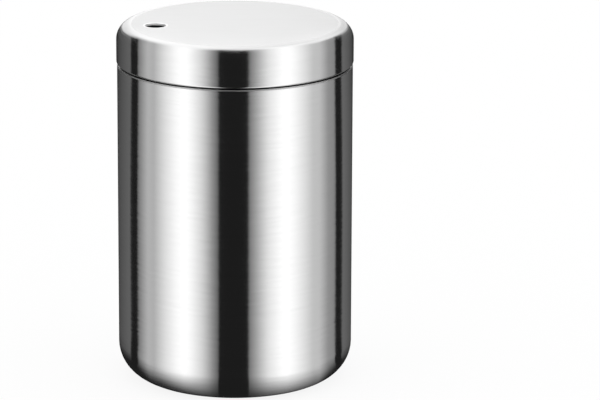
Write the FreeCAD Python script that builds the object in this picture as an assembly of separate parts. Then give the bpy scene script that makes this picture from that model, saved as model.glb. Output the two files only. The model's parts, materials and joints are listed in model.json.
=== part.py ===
import FreeCAD
import Part

import math
import os

from FreeCAD import Rotation, Vector

# Toothpick dispenser: a drawn steel can with a lift-off lid. A pick drops out of the outlet in the lid when the
# dispenser is turned over. The frame's origin is the centre of the foot, +Z runs up the axis. Millimetres.

# ---- Toothpicks ----
PICK_LENGTH = 65.0
PICK_RADIUS = 1.0
PICK_POINT_LENGTH = 7.0        # each end tapers over this length
PICK_TIP_RADIUS = 0.18         # what is left of the point
PICK_REST_GAP = 0.05           # between a point and the floor it stands on
PICK_SPACING = 2.45            # between neighbours in one ring
RING_SPACING = 2.45            # between one ring of picks and the next
RING_SIDE_GAP = 1.2            # from the collar's bore to the axes of the outermost picks
RING_FILLS = (1.0, 0.8, 0.62, 0.44, 0.27)      # share of each ring that is filled, from the wall inwards
RING_TWISTS = (24.0, 28.0, 32.0, 36.0, 40.0)   # degrees that a pick's top is turned ahead of its foot
PILE_DIRECTION = 0.0           # degrees from +X, the side on which the part-filled rings are heaped
SLOT_JITTER = 0.16             # how far a pick strays from its even place in the ring
EMPTY_SLOT_SHARE = 0.07        # share of the places that have no pick
GOLDEN = 0.6180339887          # steps of this share of one spread evenly but never repeat

# ---- Can ----
SHEET = 0.5                    # stainless sheet of the can and the cap
CAN_RADIUS = 25.0
MOUTH_MARGIN = 3.2             # the mouth stands this much above an upright pick
CAN_CORNER_RADIUS = 7.6        # outside, from the wall to the foot
CAN_HEM_HEIGHT = 3.0           # sheet folded back down inside the mouth
HEM_EDGE_RADIUS = 0.12         # cut edge of a folded hem
RECESS_HEIGHT = 0.8            # the middle of the base is raised inside the foot
RECESS_SIDE_GAP = 1.5          # from its edge to the feet of the innermost picks
RECESS_SLOPE = 1.6             # width over which the base steps up
RECESS_BEND_RADIUS = 1.2

# ---- Lid cap ----
CAP_OVERHANG = 0.15            # the cap is wider than the can by this all round
CAP_HEIGHT = 8.3
CAP_CORNER_RADIUS = 3.2
CAP_HEM_HEIGHT = 2.0
SEAM_GAP = 0.2                 # between the rolled edges of the can and the cap

# ---- Outlet ----
OUTLET_RADIUS = 2.15
OUTLET_TO_SIDE = 8.25          # from the outlet's centre to the cap's side
OUTLET_DIRECTION = 187.0       # degrees from +X
OUTLET_EDGE_BREAK = 0.12

# ---- Collar under the cap ----
COLLAR_SHEET = 0.4
COLLAR_CLEARANCE = 0.15        # all round, in the can's mouth
COLLAR_DEPTH = 6.6             # below the can's mouth
COLLAR_BEND_RADIUS = 2.4
COLLAR_FLANGE_WIDTH = 5.0      # welded flat under the cap
COLLAR_LEAD_IN = 1.0           # the lower edge is turned in by this much
COLLAR_LEAD_BEND_RADIUS = 1.0
GROOVE_DEPTH = 0.8
GROOVE_FLOOR_WIDTH = 1.8
GROOVE_FLANK_WIDTH = 0.7       # height over which each side slopes in
GROOVE_BEND_RADIUS = 0.5
GROOVE_BELOW_MOUTH = 1.6       # from the can's mouth down to the middle of the groove

# ---- Seal ring in the collar's groove ----
SEAL_HEIGHT = 1.1
SEAL_SIDE_GAP = 0.05           # to the can's folded mouth
SEAL_SEAT_GAP = 0.06           # to the floor of the groove
SEAL_EDGE_RADIUS = 0.28

# ---- Worked out from the above ----
CAN_HEIGHT = SHEET + PICK_LENGTH + MOUTH_MARGIN
MOUTH_RADIUS = CAN_RADIUS - 2 * SHEET
CAP_RADIUS = CAN_RADIUS + CAP_OVERHANG
CAP_FOOT = CAN_HEIGHT + SEAM_GAP
TOTAL_HEIGHT = CAP_FOOT + CAP_HEIGHT
CAP_UNDERSIDE = TOTAL_HEIGHT - SHEET
COLLAR_RADIUS = MOUTH_RADIUS - COLLAR_CLEARANCE
COLLAR_FOOT = CAN_HEIGHT - COLLAR_DEPTH
COLLAR_BORE_RADIUS = COLLAR_RADIUS - COLLAR_LEAD_IN - COLLAR_SHEET
GROOVE_FLOOR_RADIUS = COLLAR_RADIUS - GROOVE_DEPTH
GROOVE_MIDDLE = CAN_HEIGHT - GROOVE_BELOW_MOUTH
OUTLET_OFFSET = CAP_RADIUS - OUTLET_TO_SIDE
RING_RADII = [COLLAR_BORE_RADIUS - RING_SIDE_GAP - number * RING_SPACING for number in range(len(RING_FILLS))]
RECESS_RADIUS = RING_RADII[-1] - RECESS_SIDE_GAP

LEFT = 1
RIGHT = -1
AXIS = Vector(0, 0, 1)
ORIGIN = Vector(0, 0, 0)


# ---- Sections, as corners (radius, height, fillet) ----

def unit(start, end):
    length = math.hypot(end[0] - start[0], end[1] - start[1])
    return (end[0] - start[0]) / length, (end[1] - start[1]) / length


def offset_path(path, distance, side):
    """The path moved sideways. A fillet keeps its centre, so it grows or shrinks by the distance."""
    moved = []
    for i, (radius, height, fillet) in enumerate(path):
        ways = []
        if i > 0:
            ways.append(unit(path[i - 1], path[i]))
        if i < len(path) - 1:
            ways.append(unit(path[i], path[i + 1]))
        normals = [(-side * way[1], side * way[0]) for way in ways]
        across = (sum(n[0] for n in normals), sum(n[1] for n in normals))
        reach = distance * len(normals) / (across[0] ** 2 + across[1] ** 2)
        turn = 0.0
        if len(ways) == 2:
            turn = side * (ways[0][0] * ways[1][1] - ways[0][1] * ways[1][0])
        kept = fillet - math.copysign(distance, turn) if fillet else 0.0
        moved.append((radius + across[0] * reach, height + across[1] * reach, max(kept, 0.0)))
    return moved


def sheet_section(path, thickness, side):
    """A sheet that follows the path, with its thickness on the given side."""
    return path + offset_path(path, thickness, side)[::-1]


def hemmed_section(path, thickness, side, hem_height, edge_radius):
    """A sheet that follows the path and is folded flat onto its own inside at the end."""
    way = unit(path[-2], path[-1])
    normal = (-side * way[1], side * way[0])
    crown = path[-1]

    def from_crown(inwards, back, fillet):
        return (
            crown[0] + normal[0] * inwards - way[0] * back,
            crown[1] + normal[1] * inwards - way[1] * back,
            fillet,
        )

    fold = [
        from_crown(0.0, 0.0, thickness),
        from_crown(2 * thickness, 0.0, thickness),
        from_crown(2 * thickness, hem_height, edge_radius),
        from_crown(thickness, hem_height, 0.0),
    ]
    return path[:-1] + fold + offset_path(path, thickness, side)[-2::-1]


def turned(section):
    """The solid that a closed section makes when it is turned about the axis."""
    edges = []
    starts, ends = [], []
    count = len(section)
    for i, (radius, height, fillet) in enumerate(section):
        here = Vector(radius, 0, height)
        before = Vector(section[i - 1][0], 0, section[i - 1][1])
        after = Vector(section[(i + 1) % count][0], 0, section[(i + 1) % count][1])
        if fillet <= 0.0:
            starts.append(here)
            ends.append(here)
            continue
        back = (before - here).normalize()
        ahead = (after - here).normalize()
        half_angle = back.getAngle(ahead) / 2
        run = fillet / math.tan(half_angle)
        inwards = (back + ahead).normalize()
        centre = here + inwards * (fillet / math.sin(half_angle))
        starts.append(here + back * run)
        ends.append(here + ahead * run)
        edges.append(Part.Arc(starts[-1], centre - inwards * fillet, ends[-1]).toShape())
    for i in range(count):
        start, end = ends[i - 1], starts[i]
        if (end - start).Length > 1e-6:
            edges.append(Part.makeLine(start, end))
    face = Part.Face(Part.Wire(Part.__sortEdges__(edges)))
    return face.revolve(ORIGIN, AXIS, 360)


# ---- Sheet metal ----

def can_path():
    """The outside of the can, from the middle of the base to the mouth."""
    return [
        (0.0, RECESS_HEIGHT, 0.0),
        (RECESS_RADIUS - RECESS_SLOPE, RECESS_HEIGHT, RECESS_BEND_RADIUS),
        (RECESS_RADIUS, 0.0, RECESS_BEND_RADIUS),
        (CAN_RADIUS, 0.0, CAN_CORNER_RADIUS),
        (CAN_RADIUS, CAN_HEIGHT, 0.0),
    ]


def can_shell():
    return turned(hemmed_section(can_path(), SHEET, LEFT, CAN_HEM_HEIGHT, HEM_EDGE_RADIUS))


def outlet_cutter():
    """A drill through the top of the cap that also breaks the hole's upper edge."""
    angle = math.radians(OUTLET_DIRECTION)
    place = Vector(OUTLET_OFFSET * math.cos(angle), OUTLET_OFFSET * math.sin(angle), CAP_UNDERSIDE - SHEET)
    drill = Part.makeCylinder(OUTLET_RADIUS, 3 * SHEET, place, AXIS)
    edge_foot = Vector(place.x, place.y, TOTAL_HEIGHT - OUTLET_EDGE_BREAK)
    edge_top_radius = OUTLET_RADIUS + 2 * OUTLET_EDGE_BREAK
    edge_break = Part.makeCone(OUTLET_RADIUS, edge_top_radius, 2 * OUTLET_EDGE_BREAK, edge_foot, AXIS)
    return drill.fuse(edge_break)


def lid_cap():
    path = [
        (0.0, TOTAL_HEIGHT, 0.0),
        (CAP_RADIUS, TOTAL_HEIGHT, CAP_CORNER_RADIUS),
        (CAP_RADIUS, CAP_FOOT, 0.0),
    ]
    cap = turned(hemmed_section(path, SHEET, RIGHT, CAP_HEM_HEIGHT, HEM_EDGE_RADIUS))
    return cap.cut(outlet_cutter())


def lid_collar():
    """The flange lies under the cap. The wall plugs into the mouth and has a rolled groove for the seal."""
    groove_top = GROOVE_MIDDLE + GROOVE_FLOOR_WIDTH / 2
    groove_bottom = GROOVE_MIDDLE - GROOVE_FLOOR_WIDTH / 2
    path = [
        (COLLAR_RADIUS - COLLAR_FLANGE_WIDTH, CAP_UNDERSIDE, 0.0),
        (COLLAR_RADIUS, CAP_UNDERSIDE, COLLAR_BEND_RADIUS),
        (COLLAR_RADIUS, groove_top + GROOVE_FLANK_WIDTH, GROOVE_BEND_RADIUS),
        (GROOVE_FLOOR_RADIUS, groove_top, GROOVE_BEND_RADIUS),
        (GROOVE_FLOOR_RADIUS, groove_bottom, GROOVE_BEND_RADIUS),
        (COLLAR_RADIUS, groove_bottom - GROOVE_FLANK_WIDTH, GROOVE_BEND_RADIUS),
        (COLLAR_RADIUS, COLLAR_FOOT + COLLAR_LEAD_IN, COLLAR_LEAD_BEND_RADIUS),
        (COLLAR_RADIUS - COLLAR_LEAD_IN, COLLAR_FOOT, 0.0),
    ]
    return turned(sheet_section(path, COLLAR_SHEET, RIGHT))


def lid_seal_ring():
    inside = GROOVE_FLOOR_RADIUS + SEAL_SEAT_GAP
    outside = MOUTH_RADIUS - SEAL_SIDE_GAP
    foot = GROOVE_MIDDLE - SEAL_HEIGHT / 2
    top = GROOVE_MIDDLE + SEAL_HEIGHT / 2
    section = [(inside, foot), (outside, foot), (outside, top), (inside, top)]
    return turned([(radius, height, SEAL_EDGE_RADIUS) for radius, height in section])


# ---- Toothpicks ----

def pick_blank():
    """A pick that stands upright on the origin."""
    section = [
        (0.0, 0.0, 0.0),
        (PICK_TIP_RADIUS, 0.0, 0.0),
        (PICK_RADIUS, PICK_POINT_LENGTH, 0.0),
        (PICK_RADIUS, PICK_LENGTH - PICK_POINT_LENGTH, 0.0),
        (PICK_TIP_RADIUS, PICK_LENGTH, 0.0),
        (0.0, PICK_LENGTH, 0.0),
    ]
    return turned(section)


def floor_height(radius):
    """The height of the can's inside floor, outside the recess, at this distance from the axis."""
    corner_start = CAN_RADIUS - CAN_CORNER_RADIUS
    if radius < corner_start:
        return SHEET
    corner_radius = CAN_CORNER_RADIUS - SHEET
    return CAN_CORNER_RADIUS - math.sqrt(corner_radius ** 2 - (radius - corner_start) ** 2)


def ring_of_picks(blank, radius, fill, twist, number):
    """Picks that stand in a ring and all lean the same way round, as a loose sheaf does in a cup."""
    slots = int(2 * math.pi * radius / PICK_SPACING)
    used = int(slots * fill)
    slot_angle = 360.0 / slots
    first = PILE_DIRECTION - slot_angle * (used - 1) / 2
    foot_height = floor_height(radius) + PICK_REST_GAP
    jitter_angle = math.degrees(SLOT_JITTER / radius)
    picks = []
    for i in range(used):
        share = (i * GOLDEN + number * GOLDEN ** 2) % 1.0
        if share < EMPTY_SLOT_SHARE:
            continue
        foot_angle = first + i * slot_angle + jitter_angle * (share - 0.5)
        top_angle = foot_angle + twist + jitter_angle * (0.5 - share)
        foot = Rotation(AXIS, foot_angle).multVec(Vector(radius, 0, foot_height))
        top = Rotation(AXIS, top_angle).multVec(Vector(radius, 0, foot_height))
        lean = top - foot
        rise = math.sqrt(PICK_LENGTH ** 2 - lean.Length ** 2)
        pick = blank.copy()
        pick.Placement = FreeCAD.Placement(foot, Rotation(AXIS, lean + AXIS * rise))
        picks.append(pick)
    return Part.makeCompound(picks)


def main():
    os.makedirs("parts", exist_ok=True)
    nodes = {
        "can_shell": can_shell(),
        "lid_cap": lid_cap(),
        "lid_collar": lid_collar(),
        "lid_seal_ring": lid_seal_ring(),
    }
    blank = pick_blank()
    for number, (radius, fill, twist) in enumerate(zip(RING_RADII, RING_FILLS, RING_TWISTS)):
        nodes[f"toothpicks_ring_{number + 1}"] = ring_of_picks(blank, radius, fill, twist, number)
    for name, shape in nodes.items():
        shape.exportStep(f"parts/{name}.step")
        print(name, len(shape.Solids), "solids", round(shape.Volume, 2), "mm3", shape.isValid())


main()
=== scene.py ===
import json
import math

import bmesh
import bpy
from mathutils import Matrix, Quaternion, Vector


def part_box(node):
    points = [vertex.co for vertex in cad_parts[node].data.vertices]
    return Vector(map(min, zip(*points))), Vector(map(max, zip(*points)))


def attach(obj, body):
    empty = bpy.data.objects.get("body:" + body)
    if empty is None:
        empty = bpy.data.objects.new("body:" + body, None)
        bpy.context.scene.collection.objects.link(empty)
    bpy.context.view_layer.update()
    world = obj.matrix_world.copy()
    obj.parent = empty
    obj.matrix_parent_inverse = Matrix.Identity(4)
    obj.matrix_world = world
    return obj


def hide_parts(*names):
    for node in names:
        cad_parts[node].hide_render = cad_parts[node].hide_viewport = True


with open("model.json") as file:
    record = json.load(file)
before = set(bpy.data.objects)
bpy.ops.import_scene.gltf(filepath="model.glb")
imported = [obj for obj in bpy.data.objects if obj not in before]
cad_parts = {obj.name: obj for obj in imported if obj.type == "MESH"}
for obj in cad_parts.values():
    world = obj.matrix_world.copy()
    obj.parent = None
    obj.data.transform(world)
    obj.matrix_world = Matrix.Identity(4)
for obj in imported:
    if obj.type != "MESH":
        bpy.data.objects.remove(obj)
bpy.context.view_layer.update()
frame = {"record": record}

# A closed steel toothpick dispenser: a brushed can, its lid with an outlet, the lid's collar and seal, and the
# toothpicks inside. Lengths are in metres and angles in radians, unless a comment says otherwise. Sections are lists
# of corners (radius, height, fillet) that are turned about the Z axis.

MM = 0.001

# ---- Sizes that the frame's boxes give ----
CAN_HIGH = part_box("can_shell")[1]
CAP_LOW, CAP_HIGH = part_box("lid_cap")
COLLAR_LOW, COLLAR_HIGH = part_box("lid_collar")
SEAL_LOW, SEAL_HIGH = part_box("lid_seal_ring")
OUTLET = next(mount for mount in frame["record"]["mounts"] if mount["name"] == "outlet")

# ---- Sheet metal ----
SHEET = 0.5 * MM
CAN_CORNER_RADIUS = 7.6 * MM
CAN_HEM_HEIGHT = 3.0 * MM
CAN_DULL_DEPTHS = (0.40 * MM, 0.28 * MM, 0.16 * MM, 0.08 * MM)  # of the dull crown, below the mouth: see steel()
HEM_EDGE_RADIUS = 0.12 * MM
RECESS_HEIGHT = 0.8 * MM
RECESS_RADIUS = 9.95 * MM
RECESS_SLOPE = 1.6 * MM
RECESS_BEND_RADIUS = 1.2 * MM
CAP_CORNER_RADIUS = 3.2 * MM
CAP_HEM_HEIGHT = 2.0 * MM
OUTLET_EDGE_DEPTH = 0.12 * MM
OUTLET_EDGE_WIDTH = 0.3 * MM
OUTLET_LAND_WIDTH = 0.2 * MM   # the deburring tool's ring round the edge, lighter than the steel: a painted highlight
COLLAR_SHEET = 0.4 * MM
COLLAR_BEND_RADIUS = 2.4 * MM
COLLAR_FLANGE_WIDTH = 5.0 * MM
COLLAR_LEAD_IN = 1.0 * MM
COLLAR_LEAD_BEND_RADIUS = 1.0 * MM
GROOVE_DEPTH = 0.8 * MM
GROOVE_FLOOR_WIDTH = 1.8 * MM
GROOVE_FLANK_WIDTH = 0.7 * MM
GROOVE_BEND_RADIUS = 0.5 * MM
SEAL_SEAT_GAP = 0.06 * MM
SEAL_EDGE_RADIUS = 0.28 * MM

# ---- Mesh ----
LATHE_STEPS = 288
ARC_STEP = math.radians(7.5)
LEAST_ARC_STEPS = 3
GUARD = 0.12 * MM              # a loop this close to each bend keeps its shading off the straight wall
GUARD_ROOM = 3                 # an arc gets one where the next corner is more than this many guards away
OUTLET_STEPS = 72
OUTLET_EDGE_STEPS = 5
SHARP_ANGLE = math.radians(32)
MERGE_DISTANCE = 1e-7
LEVEL_FACE = 0.9999            # a face is level if its normal's upright share is more than this
WALL_FACE = 0.9                # and part of the outlet's wall if it is less than this
CAP_TOP, OUTLET_WALL, OUTLET_RING = 1, 2, 3    # the cap's materials after its first, the brushed one

# ---- Toothpicks ----
PICK_LENGTH = 65.0 * MM
PICK_RADIUS = 1.0 * MM
PICK_POINT_LENGTH = 7.0 * MM
PICK_POINT_CURVE = 1.15        # 1 is a straight cone
PICK_TIP_RADIUS = 0.18 * MM
PICK_REST_GAP = 0.05 * MM
PICK_SPACING = 2.45 * MM
PICK_SIDES = 14
PICK_LOOPS = 21
PICK_TONE_SPREAD = 7.3         # mixes the picks' tones, so that neighbours differ
PICK_TONE_START = 0.13
RING_SPACING = 2.45 * MM
RING_SIDE_GAP = 1.2 * MM
RING_FILLS = (1.0, 0.8, 0.62, 0.44, 0.27)
RING_TWISTS = (24.0, 28.0, 32.0, 36.0, 40.0)   # degrees
PILE_DIRECTION = 0.0           # degrees from +X, where the filled part of each ring has its middle
SLOT_JITTER = 0.16 * MM
EMPTY_SLOT_SHARE = 0.07
GOLDEN = 0.6180339887

# ---- Finishes. Scales are changes per metre, and a relief is how deep the marks are. ----
WHITE = (1.0, 1.0, 1.0, 1.0)
STEEL = (0.70, 0.70, 0.70)
MILL_STEEL = (0.56, 0.56, 0.565)
NOISE_MEAN = 0.5
NOISE_MIDDLE = (0.25, 0.75)    # most values of a noise lie between these
NOISE_MOST = (0.2, 0.8)        # and nearly all between these
BRUSHED = {"roughness": 0.14, "anisotropy": 1.0, "relief": 0.00003}
MILLED = {"roughness": 0.36, "anisotropy": 0.4, "relief": 0.00001}
BRUSHED_TONES = (0.97, 1.025)
GRAIN_AROUND = 70.0            # the finest brush lines, on their way round
GRAIN_ACROSS = 4200.0          # and across
STREAK_AROUND = 110.0          # the same for the coarser streaks
STREAK_ACROSS = 1500.0
WIPING_SCALE = 55.0
GRAIN_HEIGHT = 0.15            # of the streaks' height
GRAIN_ROUGHNESS = 0.10         # how far each of the three changes the roughness
STREAK_ROUGHNESS = 0.04
WIPING_ROUGHNESS = 0.05
FOLD_DULLNESS = 0.7            # what a dull crown adds to the roughness
QUARTER_TURN = 0.25
TOP_TONES = (0.96, 1.03)
TOP_SCALES = (60.0, 3600.0, 60.0)
TOP_WEAR_SCALE = 70.0
TOP_RELIEF = 0.000001
TOP_ROUGHNESS = 0.42
TOP_ROUGHNESS_CHANGE = 0.10
PUNCHED = {                    # torn metal with fine lines along the punch's stroke
    "scales": (9000.0, 9000.0, 900.0), "tones": (0.76, 0.90), "roughness": (0.75, 0.85), "relief": 0.00001,
    "strength": 0.6,
}
BURNISHED_WITH_HIGHLIGHT = {                  # rubbed by the deburring tool, with its chatter marks, and lighter than the steel: a painted highlight ring
    "scales": (5200.0, 5200.0, 5200.0), "tones": (0.82, 0.88), "roughness": (0.26, 0.36), "relief": 0.000004,
    "strength": 0.5,
}
SILICONE_COLOURS = ((0.70, 0.71, 0.69, 1.0), (0.79, 0.79, 0.77, 1.0))
SILICONE_CLOUD_SCALE = 260.0
SILICONE_CLOUD_RANGE = (0.3, 0.7)
SILICONE_GRAIN_SCALE = 3500.0
SILICONE_RELIEF = 0.00004
SILICONE_RELIEF_STRENGTH = 0.4
SILICONE_ROUGHNESS = (0.42, 0.60)
SILICONE_SCATTER = 0.25
SILICONE_SCATTER_REACH = (0.002, 0.002, 0.0018)        # of red, green and blue light
BAMBOO_COLOURS = ((0.70, 0.42, 0.17, 1.0), (0.86, 0.61, 0.31, 1.0))    # of the picks with the lowest and highest tone
BAMBOO_ROUGHNESS = (0.48, 0.68)
BAMBOO_RELIEF = 0.00005
BAMBOO_RELIEF_STRENGTH = 0.7
VESSEL_HEIGHT = 0.5            # of the fibres' height
# Marks on the picks: the scale round a pick, how far the pick's own tone moves them, and the scale along it.
FIBRE_PLACE = (5.0, 40.0, 90.0)
VESSEL_PLACE = (9.0, 70.0, 260.0)
PATCH_PLACE = (0.6, 25.0, 60.0)
# The noise values between which they show, their share of the colour at each, and their own colour.
FIBRE_SHARE = (0.38, 0.72, 0.0, 0.8)
FIBRE_COLOUR = (0.52, 0.28, 0.10, 1.0)
VESSEL_SHARE = (0.62, 0.72, 0.0, 0.6)
VESSEL_COLOUR = (0.30, 0.14, 0.05, 1.0)
PATCH_SHARE = (0.45, 0.8, 0.0, 0.45)
PATCH_COLOUR = (0.90, 0.70, 0.40, 1.0)
POINT_SHARE = (0.0, PICK_POINT_LENGTH, 0.7, 0.0)       # the same for the points, by the distance from the pick's end
POINT_COLOUR = (0.95, 0.60, 0.26, 1.0)

# ---- Stage ----
FLOOR_SIZE = 6.0
FLOOR_OWN_WHITE = 0.88         # how much of the floor's white doesn't depend on the light that reaches it
TENT_RADIUS = 0.5
TENT_HEIGHT = 1.4
TENT_FLOOR = 0.0001
TENT_INNER_RADIUS = 0.0187
TENT_ROUNDS = 4
TENT_RIM = 0.95                # how bright steel looks where it mirrors it, in front
TENT_RIM_SIDES = (0.68, 0.61)  # left and right
TENT_FLAT = (0.98, 0.775)      # left and right
TENT_FLAT_WIDTH = 0.08
TENT_FLAT_FADE = (0.03, 0.09)  # how far aside its light fades, up to which heights, and by what share
TENT_FLAT_FADE_HEIGHTS = (0.20, 0.32)
TENT_FLAT_FADED = 0.26
# The cards' dark foot is a painted shadow: they darken near the object's foot, where its shadow on the floor would be
# mirrored.
TENT_FOOT = 0.011
TENT_FOOT_REACH = (0.018, 0.038)       # the dark foot of the cards, from the axis
TENT_FOOT_SHADES = (           # share of the reach, share of the cards that shows over the dark foot
    (0.0, 0.0), (0.10, 0.03), (0.20, 0.16), (0.34, 0.42), (0.48, 0.66), (0.69, 0.86), (0.755, 1.0), (1.0, 1.0),
)
TENT_SIDE_FOOT = 0.008         # how much further out the foot reaches at the object's two sides
TENT_SIDE_FOOT_BEARINGS = (math.radians(45), math.radians(62))
TENT_LEFT_FOOT = 0.003         # and to the left
TENT_LEFT_FOOT_BEARINGS = (math.radians(-38), math.radians(-12))
TENT_NEAR_REACH = (0.040, 0.050)
TENT_FAR_REACHES = ((0.16, 0.262), (0.267, 0.273))     # where the cards' sides draw in behind the can, and the lid
TENT_FAR_DRAWS = (0.009, 0.021)
TENT_RIM_TILTS = (math.radians(59), math.radians(65))
TENT_RIM_HEIGHTS = (0.02, 0.06)
TENT_SIDE_BEARINGS = (math.radians(55), math.radians(80))
TENT_SIDE_DROPS = (math.radians(10), math.radians(6))  # how much further down the rim's light reaches at the sides
TENT_FLAT_TILTS = (math.radians(66), math.radians(75))
# Near the object, the bearing of the steel that mirrors a place is azimuth / (slope + bend * azimuth squared).
NEAR_SLOPE_REACH = (0.0248, 0.049)
NEAR_SLOPES = (1.204, 1.507)
NEAR_BEND_REACH = (0.0245, 0.0325)
NEAR_BENDS = (0.075, 0.033)
# The tent's cards: degrees round from the camera, to its right, and how bright steel looks where it mirrors them.
TENT_CARDS = (
    (-180, 0.02), (-140, 0.092), (-126.0, 0.118), (-125.0, 0.011), (-112.0, 0.011), (-111.0, 0.17), (-96, 0.44),
    (-87, 0.42), (-72, 0.74), (-60, 0.96), (-51, 1.06), (-44, 0.95), (-33, 0.66), (-22, 0.26), (-16.7, 0.12),
    (-16.2, 0.011), (12.6, 0.011), (13.1, 0.15), (20.6, 0.35), (33, 0.76), (45, 0.99), (52, 1.06), (60, 0.96),
    (72, 0.74), (83, 0.53), (92, 0.51), (105, 0.27), (116.6, 0.23), (117.6, 0.011), (131.4, 0.011), (132.4, 0.13),
    (180, 0.02),
)
# The small cards' shades are (share of the reach from the middle outwards, how bright steel looks).
BACK_CARD_WIDTH = 0.048
BACK_CARD_HEIGHT = 0.073
BACK_CARD_DISTANCE = 0.032     # behind the axis
BACK_CARD_SHADES = ((0.0, 0.66), (0.35, 0.56), (0.7, 0.24), (1.0, 0.09))
FRONT_CARD_RADIUS = 0.0219
FRONT_CARD_HEIGHTS = (0.07725, 0.092)
FRONT_CARD_REACH = math.radians(75)    # to either side of the camera's direction
FRONT_CARD_STEPS = 48
FRONT_CARD_SHADES = ((0.0, 0.90), (0.8, 0.88), (0.97, 0.66))
SIDE_CARD_REACH = (0.0253, 0.075)      # from the axis
SIDE_CARD_HEIGHT = 0.0735
SIDE_CARD_SHADES = ((0.0, 0.10), (0.1, 0.16), (0.35, 0.30), (1.0, 0.50))
CAMERA_DISTANCE = 0.9
CAMERA_ELEVATION = math.radians(15.06)
CAMERA_ROLL = math.radians(0.23)
SENSOR_WIDTH = 36.0            # millimetres
FRAME_WIDTH = 600              # pixels
PIXELS_PER_MM = 4.676          # at the can's axis
CAN_LEFT_OF_CENTRE = 64.95     # pixels
CAN_ABOVE_CENTRE = 0.6         # pixels

# On which side of a path, seen along it, the sheet's inside lies.
LEFT = 1
RIGHT = -1


# ---- Sections ----

def unit(start, end):
    """The direction from start to end."""
    length = math.hypot(end[0] - start[0], end[1] - start[1])
    return (end[0] - start[0]) / length, (end[1] - start[1]) / length


def offset_path(path, distance, side):
    """The path moved sideways. A fillet keeps its centre, so it grows or shrinks by the distance."""
    moved = []
    for i, (radius, height, fillet) in enumerate(path):
        ways = []
        if i > 0:
            ways.append(unit(path[i - 1], path[i]))
        if i < len(path) - 1:
            ways.append(unit(path[i], path[i + 1]))
        normals = [(-side * way[1], side * way[0]) for way in ways]
        across = (sum(n[0] for n in normals), sum(n[1] for n in normals))
        reach = distance * len(normals) / (across[0] ** 2 + across[1] ** 2)
        turn = 0.0
        if len(ways) == 2:
            turn = side * (ways[0][0] * ways[1][1] - ways[0][1] * ways[1][0])
        kept = fillet - math.copysign(distance, turn) if fillet else 0.0
        moved.append((radius + across[0] * reach, height + across[1] * reach, max(kept, 0.0)))
    return moved


def folded_end(path, thickness, side, hem_height):
    """Corners of a sheet's end that is folded flat onto its own inside."""
    way = unit(path[-2], path[-1])
    normal = (-side * way[1], side * way[0])
    crown = path[-1]

    def from_crown(inwards, back, fillet):
        return (
            crown[0] + normal[0] * inwards - way[0] * back,
            crown[1] + normal[1] * inwards - way[1] * back,
            fillet,
        )

    return [
        from_crown(0.0, 0.0, thickness),
        from_crown(2 * thickness, 0.0, thickness),
        from_crown(2 * thickness, hem_height, HEM_EDGE_RADIUS),
        from_crown(thickness, hem_height, 0.0),
    ]


def folded_sheet(path, side, hem_height):
    """The section of a sheet whose outer line is the path and whose end is folded over."""
    return path[:-1] + folded_end(path, SHEET, side, hem_height) + offset_path(path, SHEET, side)[-2::-1]


def rounded(corners, closed):
    """Points along a section: arcs at its fillets, and a guard point on the straight beside each arc.

    The room for a guard is measured to the next corner. Where two arcs meet, as at a folded edge, their guards pass
    each other, and the faces there fold back.
    """
    points = []
    count = len(corners)
    for i, (radius, height, fillet) in enumerate(corners):
        here = Vector((radius, height))
        if fillet <= 0.0 or (not closed and i in (0, count - 1)):
            points.append(here)
            continue
        before = Vector(corners[i - 1][:2])
        after = Vector(corners[(i + 1) % count][:2])
        back, ahead = (before - here).normalized(), (after - here).normalized()
        half_angle = back.angle(ahead) / 2
        run = fillet / math.tan(half_angle)
        centre = here + (back + ahead).normalized() * (fillet / math.sin(half_angle))
        start, end = here + back * run, here + ahead * run
        sweep = math.pi - 2 * half_angle
        steps = max(LEAST_ARC_STEPS, round(sweep / ARC_STEP))
        guard = min(GUARD, fillet / 2)
        if (before - start).length > GUARD_ROOM * guard:
            points.append(start + back * guard)
        for k in range(steps + 1):
            share = k / steps
            spoke = (start - centre) * math.sin((1 - share) * sweep) + (end - centre) * math.sin(share * sweep)
            points.append(centre + spoke / math.sin(sweep))
        if (after - end).length > GUARD_ROOM * guard:
            points.append(end + ahead * guard)
    kept = []
    for point in points:
        if not kept or (point - kept[-1]).length > MERGE_DISTANCE:
            kept.append(point)
    return kept


# ---- Turned pieces ----

def turn_points(mesh, points, closed):
    """Adds the surface that the points sweep round the Z axis, and returns each point's ring of vertices."""
    rings = []
    for radius, height in points:
        if radius < MERGE_DISTANCE:
            pole = mesh.verts.new((0.0, 0.0, height))
            rings.append([pole] * LATHE_STEPS)
            continue
        ring = []
        for k in range(LATHE_STEPS):
            angle = 2 * math.pi * k / LATHE_STEPS
            ring.append(mesh.verts.new((radius * math.cos(angle), radius * math.sin(angle), height)))
        rings.append(ring)
    last = len(rings) if closed else len(rings) - 1
    for i in range(last):
        here, there = rings[i], rings[(i + 1) % len(rings)]
        for k in range(LATHE_STEPS):
            corners = [here[k], here[(k + 1) % LATHE_STEPS], there[(k + 1) % LATHE_STEPS], there[k]]
            corners = list(dict.fromkeys(corners))
            if len(corners) > 2:
                mesh.faces.new(corners)
    return rings


def finished_piece(name, mesh, body, nodes):
    """Closes up a mesh, smooths it between its sharp edges, and puts it in place of its CAD nodes."""
    bmesh.ops.remove_doubles(mesh, verts=mesh.verts, dist=MERGE_DISTANCE)
    bmesh.ops.recalc_face_normals(mesh, faces=mesh.faces)
    data = bpy.data.meshes.new(name)
    mesh.to_mesh(data)
    mesh.free()
    data.shade_smooth()
    data.set_sharp_from_angle(angle=SHARP_ANGLE)
    piece = bpy.data.objects.new(name, data)
    bpy.context.scene.collection.objects.link(piece)
    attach(piece, body)
    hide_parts(*nodes)
    return piece


def turned_piece(name, corners, closed, body, node):
    mesh = bmesh.new()
    turn_points(mesh, rounded(corners, closed), closed)
    return finished_piece(name, mesh, body, [node])


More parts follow.
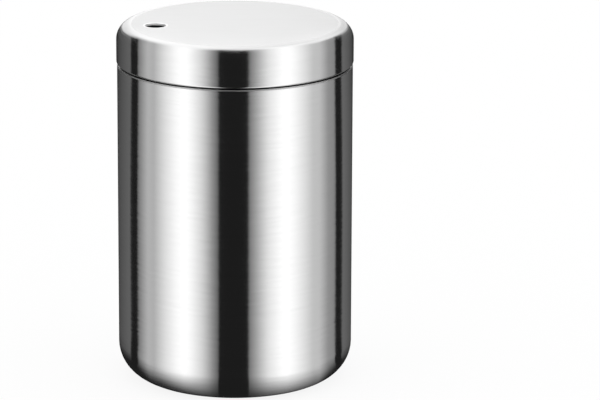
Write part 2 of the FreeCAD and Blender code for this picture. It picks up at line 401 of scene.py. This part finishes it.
def can():
    """The drawn can, from the middle of its recessed foot up to its folded mouth."""
    path = [
        (0.0, RECESS_HEIGHT, 0.0),
        (RECESS_RADIUS - RECESS_SLOPE, RECESS_HEIGHT, RECESS_BEND_RADIUS),
        (RECESS_RADIUS, 0.0, RECESS_BEND_RADIUS),
        (CAN_HIGH.x, 0.0, CAN_CORNER_RADIUS),
        (CAN_HIGH.x, CAN_HIGH.z, 0.0),
    ]
    return turned_piece("can", folded_sheet(path, LEFT, CAN_HEM_HEIGHT), False, "can", "can_shell")


def ring_at(mesh, centre, radius, height):
    """A ring of new vertices round the outlet."""
    ring = []
    for k in range(OUTLET_STEPS):
        angle = 2 * math.pi * k / OUTLET_STEPS
        place = (centre.x + radius * math.cos(angle), centre.y + radius * math.sin(angle), height)
        ring.append(mesh.verts.new(place))
    return ring


def loop_edges(mesh, ring):
    """The edges round a ring. Those that are missing are made."""
    edges = []
    for k, vertex in enumerate(ring):
        after = ring[(k + 1) % len(ring)]
        edges.append(mesh.edges.get((vertex, after)) or mesh.edges.new((vertex, after)))
    return edges


def bridge(mesh, lower, upper):
    for k in range(len(lower)):
        after = (k + 1) % len(lower)
        mesh.faces.new([lower[k], lower[after], upper[after], upper[k]])


def lid_cap():
    """The drawn cap. Its flat top and underside are open rings until the outlet is set in and filled round."""
    flat_radius = CAP_HIGH.x - CAP_CORNER_RADIUS - 2 * GUARD
    top, underside = CAP_HIGH.z, CAP_HIGH.z - SHEET
    path = [
        (flat_radius, top, 0.0),
        (CAP_HIGH.x, top, CAP_CORNER_RADIUS),
        (CAP_HIGH.x, CAP_LOW.z, 0.0),
    ]
    mesh = bmesh.new()
    rings = turn_points(mesh, rounded(folded_sheet(path, RIGHT, CAP_HEM_HEIGHT), False), False)
    centre = Vector(OUTLET["pos_m"])
    radius = OUTLET["dims"]["r_mm"] * MM
    land_radius = radius + OUTLET_EDGE_WIDTH + OUTLET_LAND_WIDTH
    foot = ring_at(mesh, centre, radius, underside)
    below = foot
    for k in range(OUTLET_EDGE_STEPS + 1):
        angle = math.pi / 2 * k / OUTLET_EDGE_STEPS
        across = OUTLET_EDGE_WIDTH * (1 - math.cos(angle))
        edge = ring_at(mesh, centre, radius + across, top - OUTLET_EDGE_DEPTH * (1 - math.sin(angle)))
        bridge(mesh, below, edge)
        below = edge
    land = ring_at(mesh, centre, land_radius, top)
    bridge(mesh, below, land)
    for outer, inner in ((rings[0], land), (rings[-1], foot)):
        edges = loop_edges(mesh, outer) + loop_edges(mesh, inner)
        bmesh.ops.triangle_fill(mesh, use_beauty=True, edges=edges)
    piece = finished_piece("lid_cap_shell", mesh, "lid", ["lid_cap"])
    for face in piece.data.polygons:
        from_outlet = math.hypot(face.center.x - centre.x, face.center.y - centre.y)
        if from_outlet < land_radius and face.center.z > top - OUTLET_EDGE_DEPTH:
            face.material_index = OUTLET_RING
        elif face.normal.z > LEVEL_FACE and face.center.z > top - GUARD:
            face.material_index = CAP_TOP
        elif from_outlet < radius + GUARD and abs(face.normal.z) < WALL_FACE:
            face.material_index = OUTLET_WALL
    return piece


def lid_collar():
    """The sheet ring that plugs into the mouth, from its flange under the cap down to its drawn-in lead."""
    radius, foot, top = COLLAR_HIGH.x, COLLAR_LOW.z, COLLAR_HIGH.z
    groove_radius = radius - GROOVE_DEPTH
    groove_middle = (SEAL_LOW.z + SEAL_HIGH.z) / 2
    groove_top = groove_middle + GROOVE_FLOOR_WIDTH / 2
    groove_bottom = groove_middle - GROOVE_FLOOR_WIDTH / 2
    path = [
        (radius - COLLAR_FLANGE_WIDTH, top, 0.0),
        (radius, top, COLLAR_BEND_RADIUS),
        (radius, groove_top + GROOVE_FLANK_WIDTH, GROOVE_BEND_RADIUS),
        (groove_radius, groove_top, GROOVE_BEND_RADIUS),
        (groove_radius, groove_bottom, GROOVE_BEND_RADIUS),
        (radius, groove_bottom - GROOVE_FLANK_WIDTH, GROOVE_BEND_RADIUS),
        (radius, foot + COLLAR_LEAD_IN, COLLAR_LEAD_BEND_RADIUS),
        (radius - COLLAR_LEAD_IN, foot, 0.0),
    ]
    corners = path + offset_path(path, COLLAR_SHEET, RIGHT)[::-1]
    return turned_piece("lid_collar_ring", corners, True, "lid", "lid_collar")


def seal_ring():
    """The soft ring in the collar's groove."""
    inside = COLLAR_HIGH.x - GROOVE_DEPTH + SEAL_SEAT_GAP
    outside = SEAL_HIGH.x
    section = [(inside, SEAL_LOW.z), (outside, SEAL_LOW.z), (outside, SEAL_HIGH.z), (inside, SEAL_HIGH.z)]
    corners = [(radius, height, SEAL_EDGE_RADIUS) for radius, height in section]
    return turned_piece("seal", corners, True, "seal_ring", "lid_seal_ring")


# ---- Node trees ----

class Field:
    """A node's output that works in Python sums. Each sum adds its Math node."""

    def __init__(self, tree, socket):
        self.tree = tree
        self.socket = socket

    def __add__(self, other):
        return self.tree.math("ADD", self, other)

    def __sub__(self, other):
        return self.tree.math("SUBTRACT", self, other)

    def __mul__(self, other):
        return self.tree.math("MULTIPLY", self, other)

    def __truediv__(self, other):
        return self.tree.math("DIVIDE", self, other)

    def __rsub__(self, other):
        return self.tree.math("SUBTRACT", other, self)

    __radd__ = __add__


class Tree:
    """A node tree that is written as calls and sums."""

    def __init__(self, nodes, links):
        self.nodes = nodes
        self.links = links

    def node(self, kind, inputs=None, **settings):
        """Adds a node, sets its settings, then fills its inputs, which are keyed by name or number."""
        made = self.nodes.new(kind)
        for key, value in settings.items():
            setattr(made, key, value)
        for key, value in (inputs or {}).items():
            if isinstance(value, Field):
                self.links.new(value.socket, made.inputs[key])
            else:
                made.inputs[key].default_value = value
        return made

    def out(self, kind, inputs=None, output=0, **settings):
        """Adds a node and returns one of its outputs, by name or number."""
        return Field(self, self.node(kind, inputs, **settings).outputs[output])

    def math(self, operation, *values):
        return self.out("ShaderNodeMath", dict(enumerate(values)), operation=operation)

    def length(self, x, y):
        return self.math("SQRT", x * x + y * y)

    def between(self, value, low, high, to_low=0.0, to_high=1.0):
        """The value from low to high, clamped, as to_low to to_high."""
        return self.out("ShaderNodeMapRange", {
            "Value": value, "From Min": low, "From Max": high, "To Min": to_low, "To Max": to_high,
        }, clamp=True)

    def parts(self, vector):
        split = self.node("ShaderNodeSeparateXYZ", {"Vector": vector})
        return [Field(self, split.outputs[axis]) for axis in "XYZ"]

    def vector(self, x, y, z):
        return self.out("ShaderNodeCombineXYZ", {"X": x, "Y": y, "Z": z})

    def scaled(self, vector, scales):
        """The vector with each part multiplied by its own scale."""
        return self.vector(*(part * scale for part, scale in zip(self.parts(vector), scales)))

    def object_place(self):
        return self.out("ShaderNodeTexCoord", output="Object")

    def noise(self, vector, scale=1.0, detail=2.0, roughness=0.5):
        return self.out("ShaderNodeTexNoise",
                        {"Vector": vector, "Scale": scale, "Detail": detail, "Roughness": roughness})

    def mix(self, factor, first, second, blend="MIX"):
        """Mixes two colours, at the sockets that the node keeps for colours."""
        return self.out("ShaderNodeMix", {0: factor, 6: first, 7: second}, output=2,
                        data_type="RGBA", blend_type=blend)

    def ramp(self, value, stops):
        """The value as a grey, by stops (place, grey)."""
        made = self.node("ShaderNodeValToRGB", {"Fac": value})
        elements = made.color_ramp.elements
        while len(elements) < len(stops):
            elements.new(1.0)
        for element, (place, brightness) in zip(elements, stops):
            element.position = place
            element.color = (brightness, brightness, brightness, 1.0)
        return Field(self, made.outputs["Color"])

    def grey(self, tone):
        return self.out("ShaderNodeCombineColor", {"Red": tone, "Green": tone, "Blue": tone})

    def light(self, colour):
        return self.out("ShaderNodeEmission", {"Color": colour, "Strength": 1.0})

    def stored(self, geometry, name, value, domain="POINT"):
        """The geometry with the value kept under a name."""
        return self.out("GeometryNodeStoreNamedAttribute", {"Geometry": geometry, "Name": name, "Value": value},
                        data_type="FLOAT", domain=domain)


def material_tree(name):
    material = bpy.data.materials.new(name)
    material.use_nodes = True
    material.node_tree.nodes.clear()
    return material, Tree(material.node_tree.nodes, material.node_tree.links)


def finish_material(tree, shader):
    tree.node("ShaderNodeOutputMaterial", {"Surface": shader})


def finish_surface(tree, height, relief, strength, looks):
    """Ends a material with a surface of these looks, whose marks are raised by the height."""
    bump = tree.out("ShaderNodeBump", {"Strength": strength, "Distance": relief, "Height": height})
    finish_material(tree, tree.out("ShaderNodeBsdfPrincipled", {**looks, "Normal": bump}))


# ---- Finishes ----

def steel(name, colour, roughness, anisotropy, relief, dull_heights=None):
    """Stainless sheet brushed round the axis: long fine lines, faint cloudy wiping marks and small colour changes.

    The brush misses the outside of a folded edge's crown. Of the four dull heights, going up, the dullness starts at
    the first, is full from the second to the third and ends at the fourth.
    """
    material, tree = material_tree(name)
    place = tree.object_place()
    x, y, z = tree.parts(place)
    across = z - tree.length(x, y)
    grain_place = tree.vector(x * GRAIN_AROUND, y * GRAIN_AROUND, across * GRAIN_ACROSS)
    grain = tree.noise(grain_place, detail=3.0, roughness=0.65)
    streak_place = tree.vector(x * STREAK_AROUND, y * STREAK_AROUND, across * STREAK_ACROSS)
    streaks = tree.noise(streak_place, detail=1.0)
    wiping = tree.noise(place, WIPING_SCALE, detail=3.0)
    tone = tree.between(grain * 0.5 + streaks * 0.5, *NOISE_MIDDLE, *BRUSHED_TONES)
    grain_change = (grain - NOISE_MEAN) * GRAIN_ROUGHNESS
    streak_change = (streaks - NOISE_MEAN) * STREAK_ROUGHNESS
    wiping_change = (wiping - NOISE_MEAN) * WIPING_ROUGHNESS
    rough = roughness + grain_change + streak_change + wiping_change
    if dull_heights:
        start, full, fade, end = dull_heights
        rough = rough + tree.between(z, start, full) * tree.between(z, fade, end, 1.0, 0.0) * FOLD_DULLNESS
    finish_surface(tree, grain * GRAIN_HEIGHT + streaks, relief, 1.0, {
        "Base Color": tree.mix(1.0, (*colour, 1.0), tree.grey(tone), "MULTIPLY"),
        "Metallic": 1.0,
        "Roughness": rough,
        "Anisotropic": anisotropy,
        "Anisotropic Rotation": QUARTER_TURN,
    })
    return material


def flat_steel():
    """The lid's flat top: satin sheet with fine straight lines across it, worn a little smoother in places."""
    material, tree = material_tree("satin lid top")
    place = tree.object_place()
    lines = tree.noise(tree.scaled(place, TOP_SCALES), detail=3.0, roughness=0.65)
    wear = tree.noise(place, TOP_WEAR_SCALE, detail=3.0)
    tone = tree.between(lines, *NOISE_MIDDLE, *TOP_TONES)
    line_change = (lines - NOISE_MEAN) * TOP_ROUGHNESS_CHANGE
    wear_change = (wear - NOISE_MEAN) * TOP_ROUGHNESS_CHANGE
    finish_surface(tree, lines, TOP_RELIEF, 1.0, {
        "Base Color": tree.mix(1.0, (*STEEL, 1.0), tree.grey(tone), "MULTIPLY"),
        "Metallic": 1.0,
        "Roughness": TOP_ROUGHNESS + line_change + wear_change,
    })
    return material


def tooled_steel(name, scales, tones, roughness, relief, strength):
    """Bare steel at the outlet with a tool's fine marks, which have a scale each along X, Y and Z."""
    material, tree = material_tree(name)
    marks = tree.noise(tree.scaled(tree.object_place(), scales))
    finish_surface(tree, marks, relief, strength, {
        "Base Color": tree.grey(tree.between(marks, *NOISE_MIDDLE, *tones)),
        "Metallic": 1.0,
        "Roughness": tree.between(marks, *NOISE_MOST, *roughness),
    })
    return material


def silicone():
    """The seal: milky and faintly cloudy, with a fine moulded grain."""
    material, tree = material_tree("milky silicone")
    place = tree.object_place()
    clouds = tree.noise(place, SILICONE_CLOUD_SCALE, detail=4.0)
    grain = tree.noise(place, SILICONE_GRAIN_SCALE)
    finish_surface(tree, grain, SILICONE_RELIEF, SILICONE_RELIEF_STRENGTH, {
        "Base Color": tree.mix(tree.between(clouds, *SILICONE_CLOUD_RANGE), *SILICONE_COLOURS),
        "Roughness": tree.between(clouds, *NOISE_MOST, *SILICONE_ROUGHNESS),
        "Subsurface Weight": SILICONE_SCATTER,
        "Subsurface Radius": SILICONE_SCATTER_REACH,
    })
    return material


def bamboo():
    """Dry bamboo: fibres along the pick, darker vessels, each pick its own tone, and freshly cut golden points."""
    material, tree = material_tree("dry bamboo")
    tone, along, around = (
        tree.out("ShaderNodeAttribute", output="Fac", attribute_name=name)
        for name in ("pick_tone", "pick_along", "pick_around")
    )
    turn = around * (2 * math.pi)
    ring_x, ring_y = tree.math("COSINE", turn), tree.math("SINE", turn)

    def place(scale_around, own_move, scale_along):
        """A place round and along the pick. The pick's own tone moves it, so that no two picks are the same."""
        return tree.vector(ring_x * scale_around + tone * own_move, ring_y * scale_around, along * scale_along)

    fibres = tree.noise(place(*FIBRE_PLACE), detail=4.0, roughness=0.7)
    vessels = tree.noise(place(*VESSEL_PLACE))
    patches = tree.noise(place(*PATCH_PLACE), detail=3.0)
    near_end = tree.math("MINIMUM", along, PICK_LENGTH - along)
    colour = tree.mix(tone, *BAMBOO_COLOURS)
    for value, share, mark_colour in (
        (fibres, FIBRE_SHARE, FIBRE_COLOUR),
        (vessels, VESSEL_SHARE, VESSEL_COLOUR),
        (patches, PATCH_SHARE, PATCH_COLOUR),
        (near_end, POINT_SHARE, POINT_COLOUR),
    ):
        colour = tree.mix(tree.between(value, *share), colour, mark_colour)
    finish_surface(tree, fibres + vessels * VESSEL_HEIGHT, BAMBOO_RELIEF, BAMBOO_RELIEF_STRENGTH, {
        "Base Color": colour,
        "Roughness": tree.between(fibres, *NOISE_MOST, *BAMBOO_ROUGHNESS),
    })
    return material


# ---- Toothpicks, one Geometry Nodes tree for every ring ----

RING_INPUTS = {
    "Ring Radius": "NodeSocketFloat",
    "Slots": "NodeSocketInt",
    "Used": "NodeSocketInt",
    "First Angle": "NodeSocketFloat",
    "Twist": "NodeSocketFloat",
    "Foot Height": "NodeSocketFloat",
    "Ring Number": "NodeSocketInt",
}


def pick_geometry(tree):
    """One pick along Z. Its loops crowd towards the two points."""
    line = tree.out("GeometryNodeCurvePrimitiveLine", {"End": (0.0, 0.0, 1.0)})
    loops = tree.out("GeometryNodeResampleCurve", {"Curve": line, "Count": PICK_LOOPS})
    step = tree.out("GeometryNodeInputIndex") / (PICK_LOOPS - 1)
    along = (1 - tree.math("COSINE", step * math.pi)) * (PICK_LENGTH / 2)
    placed = tree.out("GeometryNodeSetPosition", {"Geometry": loops, "Position": tree.vector(0.0, 0.0, along)})
    near_end = tree.math("MINIMUM", along, PICK_LENGTH - along)
    share = tree.between(near_end, 0.0, PICK_POINT_LENGTH)
    blunt = 1 - tree.math("POWER", 1 - share, PICK_POINT_CURVE)
    thickness = PICK_TIP_RADIUS + blunt * (PICK_RADIUS - PICK_TIP_RADIUS)
    kept_along = tree.stored(placed, "pick_along", along)
    circle = tree.out("GeometryNodeCurvePrimitiveCircle", {"Resolution": PICK_SIDES, "Radius": 1.0})
    side = tree.out("GeometryNodeInputIndex") / PICK_SIDES
    kept_around = tree.stored(circle, "pick_around", side)
    return tree.out("GeometryNodeCurveToMesh",
                    {"Curve": kept_along, "Profile Curve": kept_around, "Fill Caps": True, "Scale": thickness})


def pick_ring_tree(material):
    """Picks that stand in a ring and all lean the same way round, as a loose sheaf does in a cup.

    Returns the tree and the identifiers of its inputs.
    """
    group = bpy.data.node_groups.new("ring of toothpicks", "GeometryNodeTree")
    sockets = {}
    for name, kind in RING_INPUTS.items():
        sockets[name] = group.interface.new_socket(name, in_out="INPUT", socket_type=kind)
    group.interface.new_socket("Geometry", in_out="OUTPUT", socket_type="NodeSocketGeometry")
    tree = Tree(group.nodes, group.links)
    entry = tree.node("NodeGroupInput")
    given = {name: Field(tree, entry.outputs[name]) for name in sockets}
    pick = pick_geometry(tree)

    # The places in the ring. A place whose share falls low stays empty.
    spots = tree.out("GeometryNodePoints", {"Count": given["Used"]})
    index = tree.out("GeometryNodeInputIndex")
    stray = tree.math("FRACT", index * GOLDEN + given["Ring Number"] * GOLDEN ** 2)
    wander = (stray - 0.5) * SLOT_JITTER / given["Ring Radius"]
    foot_angle = given["First Angle"] + index * (2 * math.pi) / given["Slots"] + wander
    top_angle = foot_angle + given["Twist"] - wander * 2
    foot_x = tree.math("COSINE", foot_angle) * given["Ring Radius"]
    foot_y = tree.math("SINE", foot_angle) * given["Ring Radius"]
    lean_x = tree.math("COSINE", top_angle) * given["Ring Radius"] - foot_x
    lean_y = tree.math("SINE", top_angle) * given["Ring Radius"] - foot_y
    rise = tree.math("SQRT", PICK_LENGTH ** 2 - (lean_x * lean_x + lean_y * lean_y))
    standing = tree.out("GeometryNodeSetPosition",
                        {"Geometry": spots, "Position": tree.vector(foot_x, foot_y, given["Foot Height"])})
    turned = tree.out("FunctionNodeAlignEulerToVector", {"Vector": tree.vector(lean_x, lean_y, rise)}, axis="Z")
    taken = tree.math("GREATER_THAN", stray, EMPTY_SLOT_SHARE)
    sheaf = tree.out("GeometryNodeInstanceOnPoints",
                     {"Points": standing, "Selection": taken, "Instance": pick, "Rotation": turned})
    tone = tree.math("FRACT", stray * PICK_TONE_SPREAD + PICK_TONE_START)
    toned = tree.stored(sheaf, "pick_tone", tone, "INSTANCE")
    real = tree.out("GeometryNodeRealizeInstances", {"Geometry": toned})
    smooth = tree.out("GeometryNodeSetShadeSmooth", {"Geometry": real})
    dressed = tree.out("GeometryNodeSetMaterial", {"Geometry": smooth, "Material": material})
    tree.node("NodeGroupOutput", {"Geometry": dressed})
    return group, {name: socket.identifier for name, socket in sockets.items()}


def floor_height(radius):
    """The height of the can's inside floor, outside the recess, at this distance from the axis."""
    corner_start = CAN_HIGH.x - CAN_CORNER_RADIUS
    if radius < corner_start:
        return SHEET
    corner_radius = CAN_CORNER_RADIUS - SHEET
    return CAN_CORNER_RADIUS - math.sqrt(corner_radius ** 2 - (radius - corner_start) ** 2)


def toothpicks(number, group, identifiers):
    """One ring of picks as a plain mesh. The rings are numbered from the outermost, which is 0."""
    bore_radius = COLLAR_HIGH.x - COLLAR_LEAD_IN - COLLAR_SHEET
    radius = bore_radius - RING_SIDE_GAP - number * RING_SPACING
    slots = int(2 * math.pi * radius / PICK_SPACING)
    used = int(slots * RING_FILLS[number])
    sizes = {
        "Ring Radius": radius,
        "Slots": slots,
        "Used": used,
        "First Angle": math.radians(PILE_DIRECTION) - math.pi * (used - 1) / slots,
        "Twist": math.radians(RING_TWISTS[number]),
        "Foot Height": floor_height(radius) + PICK_REST_GAP,
        "Ring Number": number,
    }
    carrier = bpy.data.objects.new("carrier", bpy.data.meshes.new("carrier"))
    bpy.context.scene.collection.objects.link(carrier)
    modifier = carrier.modifiers.new("ring", "NODES")
    modifier.node_group = group
    for name, value in sizes.items():
        modifier[identifiers[name]] = value
    carrier.update_tag()
    evaluated = carrier.evaluated_get(bpy.context.evaluated_depsgraph_get())
    data = bpy.data.meshes.new_from_object(evaluated)
    bpy.data.objects.remove(carrier)
    name = f"toothpicks_in_ring_{number + 1}"
    data.name = name
    piece = bpy.data.objects.new(name, data)
    bpy.context.scene.collection.objects.link(piece)
    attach(piece, "can")
    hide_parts(f"toothpicks_ring_{number + 1}")


# ---- Stage ----

def stage_object(name, mesh_data, material):
    """Puts a mesh on the stage, where it isn't part of the dispenser."""
    thing = bpy.data.objects.new(name, mesh_data)
    bpy.context.scene.collection.objects.link(thing)
    mesh_data.materials.append(material)
    return thing


def studio_floor():
    """A white floor. Its own white fills in most of the object's shadow."""
    half = FLOOR_SIZE / 2
    data = bpy.data.meshes.new("floor")
    corners = [(-half, -half, 0.0), (half, -half, 0.0), (half, half, 0.0), (-half, half, 0.0)]
    data.from_pydata(corners, [], [(0, 1, 2, 3)])
    material, tree = material_tree("white paper")
    ray = tree.node("ShaderNodeLightPath")
    is_camera, is_glossy, is_through = (
        Field(tree, ray.outputs[name]) for name in ("Is Camera Ray", "Is Glossy Ray", "Is Transmission Ray")
    )
    seen = tree.math("MAXIMUM", is_camera, tree.math("MAXIMUM", is_glossy, is_through))
    paper = tree.out("ShaderNodeBsdfDiffuse", {"Color": WHITE})
    shader = tree.out("ShaderNodeMixShader", {0: seen * FLOOR_OWN_WHITE, 1: paper, 2: tree.light(WHITE)})
    finish_material(tree, shader)
    stage_object("floor", data, material)


def card_light(brightness):
    """How bright a card has to be for steel to look this bright where it mirrors the card."""
    return brightness / STEEL[1]


def card_grey(brightness):
    light = card_light(brightness)
    return light, light, light, 1.0


def mirroring_steel(tree, aside, y, z, distance, raised):
    """The steel that mirrors a place on one side of the tent to the camera.

    Returns its bearing as upright wall, and its bearing and tilt as the lid's rounded edge. The rounds start from the
    bearing that holds near the object. Each takes the steel at the last bearing, and works out how it has to face.
    """
    azimuth = tree.math("ARCTAN2", aside, 0 - y)
    slope = tree.between(distance, *NEAR_SLOPE_REACH, *NEAR_SLOPES)
    near = azimuth / (slope + tree.between(distance, *NEAR_BEND_REACH, *NEAR_BENDS) * azimuth * azimuth)
    bearing = near
    for _ in range(TENT_ROUNDS):
        east = aside - tree.math("SINE", bearing) * CAN_HIGH.x
        north = y + tree.math("COSINE", bearing) * CAN_HIGH.x
        level = tree.length(east, north)
        start = tree.math("MINIMUM", level * math.tan(CAMERA_ELEVATION) + z, CAP_HIGH.z - CAP_CORNER_RADIUS)
        rise = z - start
        length = tree.length(level, rise)
        normal_east = east / length
        normal_north = north / length - math.cos(CAMERA_ELEVATION)
        normal_up = rise / length + math.sin(CAMERA_ELEVATION)
        bearing = tree.math("ARCTAN2", normal_east, 0 - normal_north)
        bearing = tree.between(bearing, 0.0, math.pi / 2, 0.0, math.pi / 2)
    tilt = tree.math("ARCTAN2", normal_up, tree.length(normal_east, normal_north))
    drawn_in = (1 - tree.math("COSINE", tilt)) * (CAP_CORNER_RADIUS / CAP_HIGH.x) * raised
    upright = tree.math("ARCSINE", tree.math("SINE", bearing) * (1 - drawn_in))
    upright = near + (upright - near) * tree.between(distance, *TENT_NEAR_REACH)
    far_draw = sum(tree.between(distance, *reach, 0.0, draw) for reach, draw in zip(TENT_FAR_REACHES, TENT_FAR_DRAWS))
    return upright + upright * upright * upright * far_draw, bearing, tilt


def tent_material():
    """The tent's cards. Each point's brightness follows the bearing and tilt of the steel that mirrors it."""
    material, tree = material_tree("tent cards")
    x, y, z = tree.parts(tree.object_place())
    distance = tree.length(x, y)
    aside = tree.math("ABSOLUTE", x)
    side = tree.math("SIGN", x)
    raised = tree.between(z, *TENT_RIM_HEIGHTS)
    upright, bearing, tilt = mirroring_steel(tree, aside, y, z, distance, raised)

    stops = [(0.5 + degrees / 360, card_light(brightness)) for degrees, brightness in TENT_CARDS]
    cards = tree.ramp(upright * side / math.pi + 0.5, stops)

    rim_side = tree.between(bearing, *TENT_SIDE_BEARINGS)
    rim_drop = rim_side * tree.between(side, -1.0, 1.0, *TENT_SIDE_DROPS)
    rim_share = tree.between(tilt + rim_drop, *TENT_RIM_TILTS) * raised
    rim_sides = tree.mix(tree.between(side, -1.0, 1.0), *(card_grey(brightness) for brightness in TENT_RIM_SIDES))
    rim = tree.mix(rim_side, card_grey(TENT_RIM), rim_sides)

    flat_share = tree.between(tilt, *TENT_FLAT_TILTS) * raised
    flat_lights = (card_light(brightness) for brightness in TENT_FLAT)
    faded = tree.between(aside, *TENT_FLAT_FADE) * tree.between(z, *TENT_FLAT_FADE_HEIGHTS, TENT_FLAT_FADED, 0.0)
    flat = tree.between(x, -TENT_FLAT_WIDTH, TENT_FLAT_WIDTH, *flat_lights) * (1 - faded)

    # A painted shadow: the cards go dark near the object's foot, where the steel would mirror its shadow on the
    # floor.
    side_share = tree.between(upright, *TENT_SIDE_FOOT_BEARINGS)
    left_share = tree.between(upright * side, *TENT_LEFT_FOOT_BEARINGS, 1.0, 0.0)
    foot_distance = distance - side_share * TENT_SIDE_FOOT - left_share * TENT_LEFT_FOOT
    over_foot = tree.ramp(tree.between(foot_distance, *TENT_FOOT_REACH), TENT_FOOT_SHADES)

    lit = tree.mix(rim_share, cards, rim)
    lit = tree.mix(flat_share, lit, tree.grey(flat))
    lit = tree.mix(over_foot, card_grey(TENT_FOOT), lit)
    finish_material(tree, tree.light(lit))
    return material


def seen_in_steel_only(thing):
    thing.visible_camera = False
    thing.visible_diffuse = False
    thing.visible_transmission = False
    thing.visible_shadow = False


def tent():
    """A round tent of cards about the object, seen only in its steel. It gives no other light and no shadow."""
    mesh = bmesh.new()
    points = [
        (TENT_INNER_RADIUS, TENT_FLOOR), (TENT_RADIUS, TENT_FLOOR), (TENT_RADIUS, TENT_HEIGHT), (0.0, TENT_HEIGHT),
    ]
    turn_points(mesh, points, False)
    data = bpy.data.meshes.new("tent")
    mesh.to_mesh(data)
    mesh.free()
    seen_in_steel_only(stage_object("tent", data, tent_material()))


def one_sided_card(name, points, faces, shades, reach):
    """A card seen only in steel, and only from behind its faces. Its shades run outwards over the reach along X."""
    data = bpy.data.meshes.new(name)
    data.from_pydata(points, [], faces)
    material, tree = material_tree(name)
    aside = tree.math("ABSOLUTE", tree.parts(tree.object_place())[0])
    stops = [(share, card_light(brightness)) for share, brightness in shades]
    tone = tree.ramp(tree.between(aside, *reach), stops)
    from_behind = tree.out("ShaderNodeNewGeometry", output="Backfacing")
    clear = tree.out("ShaderNodeBsdfTransparent")
    finish_material(tree, tree.out("ShaderNodeMixShader", {0: from_behind, 1: clear, 2: tree.light(tone)}))
    seen_in_steel_only(stage_object(name, data, material))


def upright_card(name, start, end, heights, shades, reach):
    """A flat card between two places (x, y)."""
    low, high = heights
    points = [(*start, low), (*end, low), (*end, high), (*start, high)]
    one_sided_card(name, points, [(0, 1, 2, 3)], shades, reach)


def front_card():
    """A low curved card over the lid's front edge, which lightens its flat top where that is seen from behind."""
    points = []
    for k in range(FRONT_CARD_STEPS + 1):
        angle = FRONT_CARD_REACH * (2 * k / FRONT_CARD_STEPS - 1)
        place_x, place_y = FRONT_CARD_RADIUS * math.sin(angle), -FRONT_CARD_RADIUS * math.cos(angle)
        points += [(place_x, place_y, height) for height in FRONT_CARD_HEIGHTS]
    faces = [(k, k + 2, k + 3, k + 1) for k in range(0, 2 * FRONT_CARD_STEPS, 2)]
    one_sided_card("front_card", points, faces, FRONT_CARD_SHADES, (0.0, FRONT_CARD_RADIUS))


def back_card():
    """A card close behind the object, no wider than it, which lightens the middle of its back."""
    across = BACK_CARD_WIDTH / 2
    upright_card("back_card", (across, BACK_CARD_DISTANCE), (-across, BACK_CARD_DISTANCE),
                 (TENT_FLOOR, BACK_CARD_HEIGHT), BACK_CARD_SHADES, (0.0, across))


def side_cards():
    """A card to each side of the object, which gives it darker edges where it is seen from behind."""
    near, far = SIDE_CARD_REACH
    heights = (TENT_FLOOR, SIDE_CARD_HEIGHT)
    for name, start, end in (("left_card", -far, -near), ("right_card", near, far)):
        upright_card(name, (start, 0.0), (end, 0.0), heights, SIDE_CARD_SHADES, SIDE_CARD_REACH)


def world_light():
    """Plain white light from all round. The steel mirrors the cards in its place."""
    world = bpy.data.worlds.new("white room")
    bpy.context.scene.world = world
    world.use_nodes = True
    world.node_tree.nodes.clear()
    tree = Tree(world.node_tree.nodes, world.node_tree.links)
    light = tree.out("ShaderNodeBackground", {"Color": WHITE, "Strength": 1.0})
    tree.node("ShaderNodeOutputWorld", {"Surface": light})
    world.cycles_visibility.glossy = False


def camera():
    """The camera looks along +Y and a little down, with the object left of the picture's middle."""
    data = bpy.data.cameras.new("camera")
    data.sensor_width = SENSOR_WIDTH
    data.lens = PIXELS_PER_MM / MM * CAMERA_DISTANCE * SENSOR_WIDTH / FRAME_WIDTH
    middle = Vector((0.0, 0.0, CAP_HIGH.z / 2))
    back = Vector((0.0, -math.cos(CAMERA_ELEVATION), math.sin(CAMERA_ELEVATION)))
    right = CAN_LEFT_OF_CENTRE / PIXELS_PER_MM * MM
    down = CAN_ABOVE_CENTRE / PIXELS_PER_MM * MM / math.cos(CAMERA_ELEVATION)
    eye = middle + back * CAMERA_DISTANCE
    aim = middle + Vector((right, 0.0, -down))
    thing = bpy.data.objects.new("camera", data)
    bpy.context.scene.collection.objects.link(thing)
    thing.location = eye
    thing.rotation_mode = "QUATERNION"
    roll = Quaternion((0.0, 0.0, 1.0), CAMERA_ROLL)
    thing.rotation_quaternion = (aim - eye).to_track_quat("-Z", "Y") @ roll
    bpy.context.scene.camera = thing


# ---- Making ----

def main():
    dull_heights = [CAN_HIGH.z - depth for depth in CAN_DULL_DEPTHS]
    wall_steel = steel("brushed can steel", STEEL, **BRUSHED, dull_heights=dull_heights)
    cap_steel = steel("brushed lid steel", STEEL, **BRUSHED)
    collar_steel = steel("mill steel", MILL_STEEL, **MILLED)
    punched_steel = tooled_steel("punched edge", **PUNCHED)
    # The burnished ring's tones are lighter than the steel: a painted highlight round the outlet.
    burnished_highlight_steel = tooled_steel("burnished edge with painted highlight", **BURNISHED_WITH_HIGHLIGHT)
    can().data.materials.append(wall_steel)
    cap = lid_cap()
    for material in (cap_steel, flat_steel(), punched_steel, burnished_highlight_steel):
        cap.data.materials.append(material)
    lid_collar().data.materials.append(collar_steel)
    seal_ring().data.materials.append(silicone())
    group, identifiers = pick_ring_tree(bamboo())
    for number in range(len(RING_FILLS)):
        toothpicks(number, group, identifiers)
    studio_floor()
    tent()
    back_card()
    front_card()
    side_cards()
    world_light()
    camera()
    bpy.context.scene.view_settings.view_transform = "Standard"


main()
